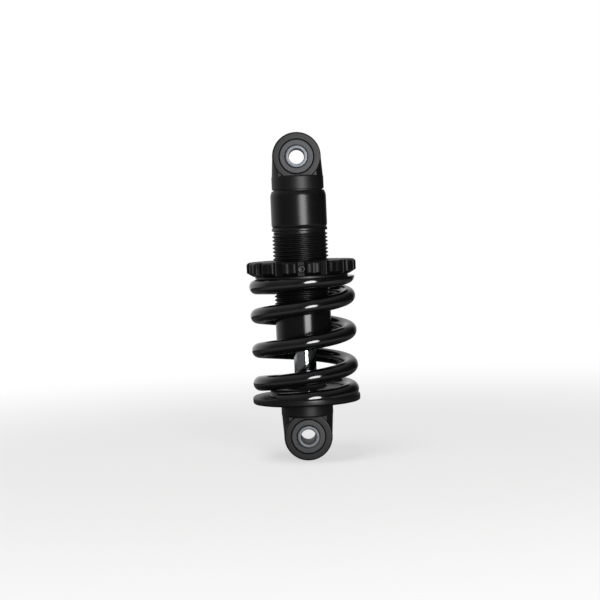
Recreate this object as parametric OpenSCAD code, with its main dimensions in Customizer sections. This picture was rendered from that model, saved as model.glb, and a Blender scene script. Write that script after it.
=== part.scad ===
// Coil-over damper for a small scooter: an oil damper with a threaded body,
// a preload collar, a coil spring round it and a bolt eye at each end.
// The origin is the centre of the upper eye and the damper's axis is Z.

/* [Overall] */
// Distance between the two bolt centres, damper fully extended
eye_to_eye = 150; // [148:0.5:156]

/* [Eyes and pivots] */
// Outer diameter of each eye
eye_d = 26; // [25:0.5:28]
// Width of each eye along its bolt
eye_w = 20; // [16:1:24]
// Outer diameter of the plain bushes, and bore of the eyes
bush_d = 18; // [16:0.5:19]
// Outer diameter of the pivot sleeves
sleeve_d = 12; // [11:0.5:14]
// How far each sleeve stands out of its eye on each side
sleeve_proud = 2; // [1:0.5:4]
// Bore of the pivot sleeves, for the bolt
bolt_bore_d = 8.2; // [6.2:0.1:9]

/* [Cap] */
// Diameter of the cap's round neck, and of the lower eye's neck
neck_d = 28; // [27:0.1:30]
// Height of the round part of each neck
neck_round_h = 7.4; // [6:0.2:8]
// Radial depth of the chamfer at the end of each neck
neck_chamfer_r = 0.4; // [0.2:0.1:1]
// Height of that chamfer
neck_chamfer_h = 0.4; // [0.2:0.1:3]
// From the upper eye's centre down to the cap's lower edge
cap_drop = 17.4; // [17:0.2:20]
// Height of the groove between the cap and the body
cap_groove_h = 0.6; // [0.4:0.1:3]
// Radial width of the cap's step that rests on the body
cap_step_w = 1.3; // [0.5:0.1:1.5]
// Length of the cap's plug inside the body
plug_l = 10; // [8:0.5:12]
// Diameter of the gas fill screw
fill_d = 5; // [4:0.5:6]
// Length of the gas fill screw
fill_l = 4; // [3:0.5:5]
// Diameter of the gas passage
gas_hole_d = 2; // [1:0.5:3]

/* [Damper body] */
// Outside diameter of the body and of its thread
body_d = 30; // [29:0.5:34]
// Wall of the plain lower tube
body_wall = 1.9; // [1.6:0.1:3]
// Length of the body
body_l = 83; // [79:0.2:84]
// Height of the taper at the top of the body
taper_h = 2.2; // [1:0.1:6]
// Radial depth of that taper
taper_r = 0.9; // [0.5:0.1:1.4]
// Length of the plain upper part of the body
plain_l = 19; // [16:0.1:21]
// Height of the V groove between the plain part and the bead
bead_gap = 1.2; // [0.6:0.1:2]
// Height of the bead above the thread
bead_h = 1.4; // [1:0.1:3]
// Length of the relief between the bead and the thread
relief_l = 0.8; // [0.4:0.1:2]
// Length of the threaded part
thread_l = 40; // [34:2:42]
// Pitch of the thread
thread_pitch = 2; // [1.5:0.25:2.5]
// Radial depth of the thread, and step to the plain lower tube
thread_depth = 1.1; // [0.7:0.1:1.3]
// Wall of the smooth guide sleeve below the thread
guide_wall = 1.08; // [0.6:0.02:2]

/* [Preload collar] */
// Diameter of the collar
collar_d = 59; // [57:0.5:64]
// Height of the collar
collar_h = 7.7; // [6:0.1:10]
// From the top of the body down to the top of the collar
collar_drop = 37.7; // [35:0.1:41]
// Number of spanner notches
notch_count = 14; // [8:1:16]
// Width of a notch
notch_w = 4.6; // [3:0.2:6]
// Radial depth of a notch
notch_depth = 2.6; // [1.5:0.1:4]
// Chamfer round the collar's top edge
collar_top_chamfer = 1.2; // [0.4:0.1:2]
// Radial depth of the chamfer under the collar
collar_low_chamfer_r = 3.5; // [1:0.1:5]
// Height of the chamfer under the collar
collar_low_chamfer_h = 2.2; // [1:0.1:3]
// Diameter of the collar's lock screw
lock_d = 4; // [3:0.5:5]
// Diameter of the slip washer under the collar
washer_d = 50; // [46:0.5:56]
// Thickness of the slip washer
washer_h = 1.3; // [0.8:0.1:2]

/* [Spring] */
// Diameter of the spring wire
wire_d = 8; // [7:0.1:8.4]
// Outside diameter of the spring
spring_d = 57; // [55:0.5:60]
// Pitch of the working turns
mid_pitch = 18.7; // [16:0.1:22]
// Gap that the pitch of the closed end turns leaves
end_gap = 0.6; // [0.2:0.1:2]
// Turns at each end that keep the closed pitch
closed_turns = 0.6; // [0.4:0.1:0.8]
// Turns over which the pitch opens
ramp_turns = 0.6; // [0.3:0.1:0.8]
// How far the wire's centre lies beyond the ground face at the tip
tip_sink = 0.9; // [0:0.1:1.5]
// Angle of the upper tip about Z
tip_angle = 36; // [0:1:359]

/* [Shaft and lower eye] */
// Diameter of the damper shaft
shaft_d = 12; // [10:0.5:13]
// Diameter of the shaft's lower thread
shaft_end_d = 10; // [8:0.5:10]
// Metal left between that thread's hole and the lower eye's bore
eye_floor = 1.2; // [0.8:0.1:3]
// From the lower eye's centre up to the shoulder that carries the spring seat
lower_neck = 18; // [17.6:0.2:19]
// Across flats of the jam nut
jam_af = 17; // [15:0.5:18]
// Height of the jam nut
jam_h = 5; // [4:0.5:6]
// Diameter of the bump stop
bump_d = 22; // [19:0.5:23]
// Height of the bump stop
bump_h = 5.5; // [4:0.5:7]
// Diameter of the lower spring seat
seat_d = 58; // [56:0.5:62]
// Thickness of the seat's flange
seat_h = 4; // [3:0.5:5]
// Height of the spigot that centres the spring
spigot_h = 4; // [2:0.5:5]

/* [Inside the damper] */
// Length of the shaft's bush in the seal head
head_bush_l = 4.5; // [4:0.1:6]
// Wall of that bush
head_bush_wall = 1.3; // [1:0.1:1.6]
// Height of the shaft seal
seal_l = 3; // [2:0.1:4]
// Radial width of the shaft seal
seal_wall = 3; // [2:0.1:3.4]
// Height of the shaft wiper
wiper_l = 2; // [1.5:0.1:3]
// Radial width of the shaft wiper
wiper_wall = 2.4; // [1.5:0.1:3]
// Lip of the seal head on each side of the seal
lip_h = 1; // [0.6:0.1:2]
// Diameter of the wire of the retaining ring
ring_wire = 1.2; // [0.8:0.1:1.5]
// Edge left below the retaining ring
ring_margin = 1.8; // [1:0.1:3]
// Height of the top-out bumper
bumper_h = 4.2; // [3:0.1:6]
// Diameter of the top-out bumper, and of the largest shims
bumper_d = 18; // [16:0.5:20]
// Diameter of the shaft's upper stub
stub_d = 8; // [6:0.5:8.5]
// Length of the piston
piston_l = 8; // [6:0.5:10]
// Width of the piston's wear band
band_w = 5; // [3:0.5:5]
// Thickness of the wear band
band_h = 1.2; // [0.8:0.1:2]
// Diameter of the piston's oil ports
port_d = 2.2; // [1.4:0.1:2.6]
// Across flats of the piston nut
piston_nut_af = 13; // [12:0.5:14]
// Height of the piston nut
piston_nut_h = 5; // [4:0.5:6]
// Length of the floating piston
divider_l = 8; // [6:0.5:9]
// Height of the gas space above the floating piston
gas_h = 8; // [6.5:0.5:9]
// Thickness of a shim
shim_h = 0.3; // [0.2:0.05:0.4]
// Section of the O-rings
o_ring_d = 1.8; // [1.4:0.1:2]

/* [Clearances] */
// Radial clearance of a piece that turns or slides in another
run_gap = 0.05; // [0.02:0.01:0.1]
// Radial clearance of a piece that is fixed in another
static_gap = 0.02; // [0.01:0.01:0.05]
// Radial clearance between the thread's crests and the rings that run on it
thread_gap = 0.1; // [0.05:0.01:0.2]
// Clearance where two flat faces that can part meet
seat_gap = 0.05; // [0.02:0.01:0.1]
// Clearance at the ends of the damper's stroke
stop_gap = 0.3; // [0.2:0.1:0.6]
// Radial clearance of loose pieces
loose_gap = 0.5; // [0.3:0.1:0.8]

/* [Hidden] */
$fn = 64;

// Finishes as the photograph shows them
black_anodised = "#26272a";
black_lacquer = "#1c1c1e";
black_oxide = "#202022";
black_rubber = "#161617";
steel = "#a7aaae";
nylon = "#3a3b3d";
bronze = "#a58a56";

// Heights along the axis, from the upper eye's centre
cap_z = -cap_drop;
body_top_z = cap_z - cap_groove_h;
plug_end_z = body_top_z - plug_l;
plain_end_z = body_top_z - plain_l;
bead_top_z = plain_end_z - bead_gap;
bead_end_z = bead_top_z - bead_h;
thread_top_z = bead_end_z - relief_l;
body_end_z = body_top_z - body_l;
collar_top_z = body_top_z - collar_drop;
collar_end_z = collar_top_z - collar_h;
washer_end_z = collar_end_z - washer_h;
ring_z = body_end_z + ring_margin;
head_end_z = ring_z + ring_wire;
head_l = head_bush_l + seal_l + wiper_l + 2 * lip_h;
head_top_z = head_end_z + head_l;
bumper_top_z = head_top_z + bumper_h;
shoulder_z = bumper_top_z + stop_gap;
lower_eye_z = -eye_to_eye;
seat_z = lower_eye_z + lower_neck;
hole_l = lower_neck - bush_d / 2 - eye_floor;
shaft_end_l = hole_l - stop_gap;
jam_top_z = seat_z + jam_h;
bump_top_z = jam_top_z + bump_h;

// Stack of the piston on the shaft's stub
shim_count = 4;
shim_step = shim_h + seat_gap;
shims_h = shim_count * shim_step;
piston_z = shoulder_z + shims_h;
piston_top_z = piston_z + piston_l;
nut_z = piston_top_z + shims_h;
nut_top_z = nut_z + piston_nut_h;
stub_proud = 1;
stub_top_z = nut_top_z + stub_proud;
divider_top_z = plug_end_z - gas_h;
divider_z = divider_top_z - divider_l;

// Stroke left between the body and the bump stop
stroke = body_end_z - bump_top_z - loose_gap;

// Radii
body_r = body_d / 2;
tube_r = body_r - thread_depth;
bore_r = tube_r - body_wall;
cap_step_r = bore_r + cap_step_w;
collar_bore_r = body_r + thread_gap;
shaft_r = shaft_d / 2;
o_ring_space = o_ring_d + static_gap;
band_r = bore_r - run_gap;
edge = 0.8;

// How far a cutting shape runs past the faces that it cuts
cut = 1;

// Spring: its centre line drops with the turns from the upper tip, slowly in the
// closed end turns and steadily between them
spring_r = (spring_d - wire_d) / 2;
spring_top_z = washer_end_z - seat_gap;
spring_end_z = seat_z + seat_h + seat_gap;
tip_top_z = spring_top_z + tip_sink;
coil_h = tip_top_z - (spring_end_z - tip_sink);
end_pitch = wire_d + end_gap;
extra_pitch = mid_pitch - end_pitch;
half_turns = (coil_h / 2 + extra_pitch * (closed_turns + ramp_turns / 2)) / mid_pitch;
turns = 2 * half_turns;
rings_per_turn = 24;
wire_sides = 8;
rings = ceil(turns * rings_per_turn);

function clamp01(s) = min(max(s, 0), 1);
function ramp_area(s) = pow(s, 3) - pow(s, 4) / 2;
function open_turns(t) = ramp_turns * ramp_area(clamp01((t - closed_turns) / ramp_turns))
  + max(0, t - closed_turns - ramp_turns);
function half_drop(t) = end_pitch * t + extra_pitch * open_turns(t);
function drop(t) = t <= half_turns ? half_drop(t) : coil_h - half_drop(turns - t);
function wire_angle(t) = tip_angle - 360 * t;
function wire_centre(t) = [
  spring_r * cos(wire_angle(t)),
  spring_r * sin(wire_angle(t)),
  tip_top_z - drop(t)
];
function ground(z) = min(max(z, spring_end_z), spring_top_z);
function wire_point(t, side) = let (
  a = 360 * side / wire_sides,
  r = spring_r + wire_d / 2 * cos(a),
  z = tip_top_z - drop(t) + wire_d / 2 * sin(a)
) [r * cos(wire_angle(t)), r * sin(wire_angle(t)), ground(z)];

// Least gap between the turns, measured on the centre line's points
spring_centres = [for (i = [0:rings]) wire_centre(turns * i / rings)];
half_turn_rings = floor(rings_per_turn / 2);
spring_gap = min([
  for (i = [0:rings - half_turn_rings])
    for (j = [i + half_turn_rings:rings])
      norm(spring_centres[i] - spring_centres[j])
]) - wire_d;
echo(spring_least_gap_mm = spring_gap, spring_turns = turns, stroke_mm = stroke);

// A tube or ring about Z, from z up
module ring(r_out, r_in, z, h) {
  difference() {
    translate([0, 0, z]) cylinder(r = r_out, h = h);
    translate([0, 0, z - cut]) cylinder(r = r_in, h = h + 2 * cut);
  }
}

// A disc or rod about Z, from z up
module rod(r, z, h) {
  translate([0, 0, z]) cylinder(r = r, h = h);
}

// An O-ring that fills its groove up to radius r_out
module o_ring(r_out, z) {
  rotate_extrude() translate([r_out - o_ring_d / 2, z]) circle(d = o_ring_d);
}

// The space of an O-ring groove cut from a plug of radius r_out
module o_ring_groove(r_out, z) {
  ring(r_out + cut, r_out - o_ring_space - static_gap, z - o_ring_d / 2 - seat_gap, o_ring_d + 2 * seat_gap);
}

// A hexagon nut about Z, from z up
module hex_nut(af, r_in, z, h) {
  difference() {
    translate([0, 0, z]) cylinder(d = af / cos(30), h = h, $fn = 6);
    translate([0, 0, z - cut]) cylinder(r = r_in, h = h + 2 * cut);
  }
}

// The round bar that a neck is turned from, chamfered at its end, from -l up by h
module neck_bar(l, h) {
  rotate_extrude()
    polygon([
      [0, -l],
      [neck_d / 2 - neck_chamfer_r, -l],
      [neck_d / 2, neck_chamfer_h - l],
      [neck_d / 2, h - l],
      [0, h - l]
    ]);
}

// A bolt eye at the origin with a neck of length l below it
module eye_link(l) {
  difference() {
    union() {
      rotate([90, 0, 0]) cylinder(d = eye_d, h = eye_w, center = true);
      neck_bar(l, neck_round_h);
      intersection() {
        rotate([90, 0, 0])
          linear_extrude(height = eye_w, center = true)
            polygon([[-neck_d / 2, -l], [neck_d / 2, -l], [eye_d / 2, 0], [-eye_d / 2, 0]]);
        neck_bar(l, l);
      }
    }
    rotate([90, 0, 0]) cylinder(d = bush_d, h = neck_d + 2 * cut, center = true);
  }
}

// A plain bush in an eye, at the eye's centre
module eye_bush() {
  rotate([90, 0, 0])
    difference() {
      cylinder(r = bush_d / 2 - static_gap, h = eye_w, center = true);
      cylinder(r = sleeve_d / 2 + run_gap, h = eye_w + 2 * cut, center = true);
    }
}

// A pivot sleeve in a bush, at the eye's centre
module eye_sleeve() {
  rotate([90, 0, 0])
    difference() {
      cylinder(d = sleeve_d, h = eye_w + 2 * sleeve_proud, center = true);
      cylinder(d = bolt_bore_d, h = eye_w + 2 * sleeve_proud + 2 * cut, center = true);
    }
}

module upper_sleeve() {
  color(steel) eye_sleeve();
}

module upper_bush() {
  color(nylon) eye_bush();
}

fill_z = (cap_z - (cap_drop - neck_round_h)) / 2;
fill_recess = 1;
fill_floor_y = neck_d / 2 - fill_recess - fill_l;

// Cap with its eye, groove and plug, drilled for the gas
module upper_eye_cap() {
  color(black_anodised)
    difference() {
      union() {
        eye_link(cap_drop);
        rod(cap_step_r, body_top_z, cap_groove_h);
        rod(bore_r - static_gap, plug_end_z, plug_l);
      }
      o_ring_groove(bore_r - static_gap, plug_end_z + plug_l / 2);
      translate([0, fill_floor_y, fill_z]) rotate([-90, 0, 0]) cylinder(d = fill_d, h = neck_d);
      translate([0, 0, fill_z]) rotate([-90, 0, 0]) cylinder(d = gas_hole_d, h = neck_d / 2);
      rod(gas_hole_d / 2, plug_end_z - cut, fill_z - plug_end_z + cut);
    }
}

// Gas fill screw in the back of the cap, with its key socket
module fill_screw() {
  color(steel)
    translate([0, fill_floor_y, fill_z])
      rotate([-90, 0, 0])
        difference() {
          cylinder(r = fill_d / 2 - static_gap, h = fill_l);
          translate([0, 0, fill_l / 2]) cylinder(d = fill_d / 2, h = fill_l, $fn = 6);
        }
}

module cap_o_ring() {
  color(black_rubber) o_ring(bore_r - static_gap, plug_end_z + plug_l / 2);
}

// Ridges of the thread, as radius and height, from the top down
ridge_count = floor(thread_l / thread_pitch);
thread_end_z = thread_top_z - ridge_count * thread_pitch;
crest_share = 0.2;
ridges = [
  for (i = [0:ridge_count - 1])
    let (z = thread_top_z - i * thread_pitch, flank = thread_pitch * (1 - crest_share) / 2)
      each [
        [tube_r, z],
        [body_r, z - flank],
        [body_r, z - thread_pitch + flank]
      ]
];

// Damper tube with its taper, bead, thread and the groove of the retaining ring
module damper_body() {
  v_depth = bead_gap / 2;
  color(black_anodised)
    difference() {
      rotate_extrude()
        polygon(concat(
          [
            [bore_r, body_top_z],
            [body_r - taper_r, body_top_z],
            [body_r, body_top_z - taper_h],
            [body_r, plain_end_z],
            [body_r - v_depth, plain_end_z - v_depth],
            [body_r, bead_top_z],
            [body_r, bead_end_z],
            [tube_r, bead_end_z]
          ],
          ridges,
          [
            [tube_r, thread_end_z],
            [tube_r, body_end_z + edge],
            [tube_r - edge, body_end_z],
            [bore_r, body_end_z]
          ]
        ));
      rod(bore_r + ring_wire / 2 + static_gap, ring_z - static_gap, ring_wire + static_gap);
    }
}

// Smooth sleeve round the plain tube, inside the spring
module guide_sleeve() {
  z = body_end_z + edge;
  inner_r = tube_r + static_gap;
  color(black_lacquer) ring(inner_r + guide_wall, inner_r, z, thread_end_z - z);
}

// Notched collar that runs on the thread
module preload_collar() {
  r = collar_d / 2;
  color(black_anodised)
    difference() {
      rotate_extrude()
        polygon([
          [collar_bore_r, collar_top_z],
          [r - collar_top_chamfer, collar_top_z],
          [r, collar_top_z - collar_top_chamfer],
          [r, collar_end_z + collar_low_chamfer_h],
          [r - collar_low_chamfer_r, collar_end_z],
          [collar_bore_r, collar_end_z]
        ]);
      for (i = [0:notch_count - 1])
        rotate([0, 0, 360 * i / notch_count - 90])
          translate([r - notch_depth, -notch_w / 2, collar_end_z - cut])
            cube([notch_depth + cut, notch_w, collar_h + 2 * cut]);
      translate([0, 0, collar_top_z - collar_h / 2]) rotate([90, 0, 0]) cylinder(d = lock_d, h = r);
    }
}

// Grub screw in the front notch, its nylon end on the thread
module collar_lock_screw() {
  r_in = collar_bore_r + thread_gap;
  l = collar_d / 2 - notch_depth - r_in - stop_gap;
  color(black_oxide)
    translate([0, -r_in, collar_top_z - collar_h / 2])
      rotate([90, 0, 0])
        difference() {
          cylinder(r = lock_d / 2 - static_gap, h = l);
          translate([0, 0, l - lock_d / 2]) cylinder(d = lock_d / 2, h = lock_d, $fn = 6);
        }
}

module slip_washer() {
  color(black_oxide) ring(washer_d / 2, collar_bore_r, washer_end_z, washer_h);
}

// One unbroken round wire with closed, ground ends
module coil_spring() {
  m = wire_sides;
  points = [for (i = [0:rings]) for (j = [0:m - 1]) wire_point(turns * i / rings, j)];
  walls = [
    for (i = [0:rings - 1])
      for (j = [0:m - 1])
        let (a = i * m + j, b = i * m + (j + 1) % m)
          each [[a, b, b + m], [a, b + m, a + m]]
  ];
  // Each tip is a fan of triangles from the side of the wire that isn't ground
  low = m * 3 / 4;
  high = m / 4;
  last = rings * m;
  top_cap = [for (j = [1:m - 2]) [low, (low + j + 1) % m, (low + j) % m]];
  end_cap = [for (j = [1:m - 2]) [last + high, last + (high + j) % m, last + (high + j + 1) % m]];
  color(black_lacquer) polyhedron(points = points, faces = concat(walls, top_cap, end_cap));
}

// Floating piston between the gas and the oil, dished on the oil side
module floating_piston() {
  dish = divider_l / 3;
  color(steel)
    difference() {
      rod(bore_r - run_gap, divider_z, divider_l);
      o_ring_groove(bore_r - run_gap, divider_top_z - divider_l / 2);
      rod(bore_r / 2, divider_z - cut, dish + cut);
    }
}

module floating_piston_o_ring() {
  color(black_rubber) o_ring(bore_r - run_gap, divider_top_z - divider_l / 2);
}

module piston_nut() {
  color(steel) hex_nut(piston_nut_af, stub_d / 2 + static_gap, nut_z, piston_nut_h);
}

// Thin steel discs from z up, the widest lowest: it bears on the piston or the bumper
module shims(z) {
  step_r = 0.9;
  for (i = [0:shim_count - 1])
    ring(bumper_d / 2 - i * step_r, stub_d / 2 + static_gap, z + seat_gap / 2 + i * shim_step, shim_h);
}

module compression_shims() {
  color(steel) shims(piston_top_z);
}

port_count = 6;

// Piston with its oil ports and the groove of its wear band
module piston() {
  port_r = (stub_d / 2 + bumper_d / 2) / 2;
  color(steel)
    difference() {
      rod(bore_r - loose_gap, piston_z, piston_l);
      rod(stub_d / 2 + static_gap, piston_z - cut, piston_l + 2 * cut);
      ring(bore_r + cut, band_r - band_h - static_gap, piston_z + (piston_l - band_w) / 2, band_w);
      for (i = [0:port_count - 1])
        rotate([0, 0, 360 * i / port_count])
          translate([port_r, 0, piston_z - cut])
            cylinder(d = port_d, h = piston_l + 2 * cut);
    }
}

module piston_band() {
  color(bronze)
    ring(band_r, band_r - band_h, piston_z + (piston_l - band_w) / 2 + static_gap, band_w - 2 * static_gap);
}

module rebound_shims() {
  color(steel) shims(shoulder_z);
}

// Rubber ring on the seal head that ends the outward stroke softly
module top_out_bumper() {
  color(black_rubber) ring(bumper_d / 2, shaft_r + loose_gap, head_top_z, bumper_h);
}

head_bush_z = head_top_z - head_bush_l;
seal_z = head_bush_z - lip_h - seal_l;

// Seal head with its pockets for the bush, the seal and the wiper
module seal_head() {
  color(black_anodised)
    difference() {
      rod(bore_r - static_gap, head_end_z, head_l);
      rod(shaft_r + loose_gap, head_end_z - cut, head_l + 2 * cut);
      rod(shaft_r + head_bush_wall, head_bush_z, head_bush_l + cut);
      rod(shaft_r + seal_wall, seal_z, seal_l);
      rod(shaft_r + wiper_wall, head_end_z - cut, wiper_l + cut);
      o_ring_groove(bore_r - static_gap, head_top_z - head_bush_l / 2);
    }
}

module seal_head_o_ring() {
  color(black_rubber) o_ring(bore_r - static_gap, head_top_z - head_bush_l / 2);
}

module shaft_bush() {
  color(bronze)
    ring(shaft_r + head_bush_wall - static_gap, shaft_r + run_gap, head_bush_z, head_bush_l);
}

// Lip seal, hollow towards the oil
module shaft_seal() {
  color(black_rubber)
    difference() {
      ring(shaft_r + seal_wall - static_gap, shaft_r + run_gap, seal_z, seal_l - static_gap);
      ring(shaft_r + seal_wall * 2 / 3, shaft_r + seal_wall / 3, seal_z + seal_l / 2, seal_l);
    }
}

// Dirt wiper in the mouth of the seal head
module shaft_wiper() {
  color(black_rubber) ring(shaft_r + wiper_wall - static_gap, shaft_r + run_gap, head_end_z, wiper_l);
}

// Open wire ring that holds the seal head in the body
module retaining_ring() {
  open_angle = 24;
  color(steel)
    rotate([0, 0, 90 + open_angle / 2])
      rotate_extrude(angle = 360 - open_angle)
        translate([bore_r, ring_z + ring_wire / 2])
          circle(d = ring_wire - 2 * static_gap);
}

// Ground shaft with a stub for the piston and a thread for the lower eye
module damper_shaft() {
  color(steel)
    rotate_extrude()
      polygon([
        [0, stub_top_z],
        [stub_d / 2 - edge, stub_top_z],
        [stub_d / 2, stub_top_z - edge],
        [stub_d / 2, shoulder_z],
        [shaft_r, shoulder_z],
        [shaft_r, jam_top_z],
        [shaft_end_d / 2, jam_top_z],
        [shaft_end_d / 2, seat_z - shaft_end_l],
        [0, seat_z - shaft_end_l]
      ]);
}

// Rubber bump stop with a waist
module bump_stop() {
  waist_depth = 1.4;
  waist_half_h = 0.8;
  waist_z = jam_top_z + bump_h / 2;
  color(black_rubber)
    rotate_extrude()
      polygon([
        [shaft_r + run_gap, jam_top_z],
        [bump_d / 2, jam_top_z],
        [bump_d / 2, waist_z - waist_half_h],
        [bump_d / 2 - waist_depth, waist_z],
        [bump_d / 2, waist_z + waist_half_h],
        [bump_d / 2 - waist_depth, bump_top_z],
        [shaft_r + run_gap, bump_top_z]
      ]);
}

module jam_nut() {
  color(steel) hex_nut(jam_af, shaft_end_d / 2 + static_gap, seat_z, jam_h);
}

// Lower spring seat with a spigot inside the spring
module lower_spring_seat() {
  r = seat_d / 2;
  bore = max(bump_d / 2, jam_af / 2 / cos(30)) + loose_gap;
  spigot_r = spring_r - wire_d / 2 - loose_gap;
  flange_z = seat_z + seat_h;
  color(black_anodised)
    rotate_extrude()
      polygon([
        [bore, seat_z],
        [r - edge, seat_z],
        [r, seat_z + edge],
        [r, flange_z - edge],
        [r - edge, flange_z],
        [spigot_r, flange_z],
        [spigot_r - edge, flange_z + spigot_h],
        [bore, flange_z + spigot_h]
      ]);
}

// Lower eye with the thread for the shaft
module lower_eye() {
  color(black_anodised)
    difference() {
      translate([0, 0, lower_eye_z]) rotate([180, 0, 0]) eye_link(lower_neck);
      rod(shaft_end_d / 2 + static_gap, seat_z - hole_l, hole_l + cut);
    }
}

module lower_bush() {
  color(nylon) translate([0, 0, lower_eye_z]) eye_bush();
}

module lower_sleeve() {
  color(steel) translate([0, 0, lower_eye_z]) eye_sleeve();
}

upper_sleeve();
upper_bush();
upper_eye_cap();
fill_screw();
cap_o_ring();
damper_body();
guide_sleeve();
preload_collar();
collar_lock_screw();
slip_washer();
coil_spring();
floating_piston();
floating_piston_o_ring();
piston_nut();
compression_shims();
piston();
piston_band();
rebound_shims();
top_out_bumper();
seal_head();
seal_head_o_ring();
shaft_bush();
shaft_seal();
shaft_wiper();
retaining_ring();
damper_shaft();
bump_stop();
jam_nut();
lower_spring_seat();
lower_eye();
lower_bush();
lower_sleeve();
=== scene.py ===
"""Looks of a small coil-over damper: a threaded oil damper, a notched preload collar and a coil spring."""

import math

import bmesh
import bpy
from mathutils import Matrix, Vector
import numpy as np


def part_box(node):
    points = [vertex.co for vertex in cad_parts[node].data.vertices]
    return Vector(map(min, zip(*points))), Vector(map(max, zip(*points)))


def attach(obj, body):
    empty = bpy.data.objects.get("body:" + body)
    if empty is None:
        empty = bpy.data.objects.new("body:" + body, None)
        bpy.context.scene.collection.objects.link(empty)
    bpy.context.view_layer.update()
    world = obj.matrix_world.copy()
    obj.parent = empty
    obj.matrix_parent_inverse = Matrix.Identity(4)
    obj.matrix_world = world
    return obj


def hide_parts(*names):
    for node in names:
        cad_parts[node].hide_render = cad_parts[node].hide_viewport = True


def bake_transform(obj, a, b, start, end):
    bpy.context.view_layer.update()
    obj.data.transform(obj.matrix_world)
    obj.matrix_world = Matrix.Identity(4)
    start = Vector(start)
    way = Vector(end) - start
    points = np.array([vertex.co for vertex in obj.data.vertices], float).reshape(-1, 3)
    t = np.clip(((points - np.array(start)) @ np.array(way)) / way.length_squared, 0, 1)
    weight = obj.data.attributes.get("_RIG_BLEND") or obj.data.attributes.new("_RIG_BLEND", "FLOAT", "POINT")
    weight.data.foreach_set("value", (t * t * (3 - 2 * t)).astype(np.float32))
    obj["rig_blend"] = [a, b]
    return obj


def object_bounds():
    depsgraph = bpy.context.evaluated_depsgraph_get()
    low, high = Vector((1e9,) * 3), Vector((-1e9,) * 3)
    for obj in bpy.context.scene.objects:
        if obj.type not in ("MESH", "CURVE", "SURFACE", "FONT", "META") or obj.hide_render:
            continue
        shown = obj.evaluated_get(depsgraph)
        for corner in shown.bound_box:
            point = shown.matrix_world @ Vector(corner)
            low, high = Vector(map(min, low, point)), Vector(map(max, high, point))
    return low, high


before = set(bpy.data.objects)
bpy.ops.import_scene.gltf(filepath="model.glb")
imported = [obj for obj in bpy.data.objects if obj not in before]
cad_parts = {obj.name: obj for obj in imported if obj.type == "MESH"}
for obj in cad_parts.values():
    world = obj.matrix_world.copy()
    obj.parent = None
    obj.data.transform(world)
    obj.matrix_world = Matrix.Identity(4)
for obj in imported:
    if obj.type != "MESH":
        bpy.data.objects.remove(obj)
cad_low, cad_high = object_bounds()

# Upper eye cap
# An aluminium cap turned from bar, with two flats milled on its eye and a plug that screws into the body.
# It is bead blasted and anodised black, and its eye is bored for a plain bush.
mm = 0.001


def in_order(bm):
    """The same mesh with its points, edges and faces sorted by place, so that each run gives the same."""
    for parts, corners in (
        (bm.verts, lambda point: [point]),
        (bm.edges, lambda edge: edge.verts),
        (bm.faces, lambda face: face.verts),
    ):
        by_place = sorted(parts, key=lambda part: sorted(point.co[:] for point in corners(part)))
        for index, part in enumerate(by_place):
            part.index = index
        parts.sort()
    return bm


def drawn(outline, closed):
    """A line in the plane of X and Z. Each point is a place across, a height and its corner's rounding."""
    bm = bmesh.new()
    points = [bm.verts.new((across, 0, height)) for across, height, _ in outline]
    for start, end in zip(points, points[1:] + points[:1] * closed):
        bm.edges.new((start, end))
    for point, (_, _, rounding) in zip(points, outline):
        if rounding:
            bmesh.ops.bevel(
                bm, geom=[point], affect="VERTICES", offset=rounding, segments=4, profile=0.5, material=-1
            )
    return in_order(bm)


def turned(outline, steps=112, ends_open=False):
    """A solid turned about Z from a line on one side of the axis. With open ends it is only a skin."""
    bm = drawn(outline, closed=outline[0][0] > 0 and not ends_open)
    bmesh.ops.spin(
        bm, geom=bm.verts[:] + bm.edges[:], cent=(0, 0, 0), axis=(0, 0, 1), dvec=(0, 0, 0),
        angle=math.tau, steps=steps, use_merge=True
    )
    bmesh.ops.remove_doubles(bm, verts=bm.verts[:], dist=0.0001 * mm)
    bmesh.ops.recalc_face_normals(bm, faces=bm.faces[:])
    return bm


def placed(bm, turn=0, about="X", move=(0, 0, 0)):
    """The same solid, turned about an axis through the origin and then moved."""
    turning = Matrix.Rotation(math.radians(turn), 3, about)
    bmesh.ops.rotate(bm, verts=bm.verts[:], cent=(0, 0, 0), matrix=turning)
    bmesh.ops.translate(bm, verts=bm.verts[:], vec=move)
    return bm


def prism(outline, depth):
    """A solid of constant section along Y, from a closed line. It is centred on the plane of that line."""
    bm = drawn(outline, closed=True)
    bmesh.ops.contextual_create(bm, geom=bm.edges[:])
    bmesh.ops.translate(bm, verts=bm.verts[:], vec=(0, -depth / 2, 0))
    pulled = bmesh.ops.extrude_face_region(bm, geom=bm.faces[:])["geom"]
    far_points = [g for g in pulled if isinstance(g, bmesh.types.BMVert)]
    bmesh.ops.translate(bm, verts=far_points, vec=(0, depth, 0))
    bmesh.ops.recalc_face_normals(bm, faces=bm.faces[:])
    return bm


def worked(solid, tool, operation):
    """One solid joined with, cut by or kept inside another. Both are used up."""
    blanks = []
    for bm in (solid, tool):
        mesh = bpy.data.meshes.new("blank")
        in_order(bm).to_mesh(mesh)
        bm.free()
        blanks.append(bpy.data.objects.new("blank", mesh))
        bpy.context.scene.collection.objects.link(blanks[-1])
    step = blanks[0].modifiers.new("step", "BOOLEAN")
    step.operation = operation
    step.solver = "EXACT"
    step.object = blanks[1]
    result = bmesh.new()
    result.from_object(blanks[0], bpy.context.evaluated_depsgraph_get())
    for blank in blanks:
        bpy.data.objects.remove(blank)
    weld = 0.0005 * mm
    straight = 0.001
    bmesh.ops.remove_doubles(result, verts=result.verts[:], dist=weld)
    in_line = [v for v in result.verts if len(v.link_edges) == 2 and v.calc_edge_angle(0) < straight]
    bmesh.ops.dissolve_verts(result, verts=in_line)
    return result


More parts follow.
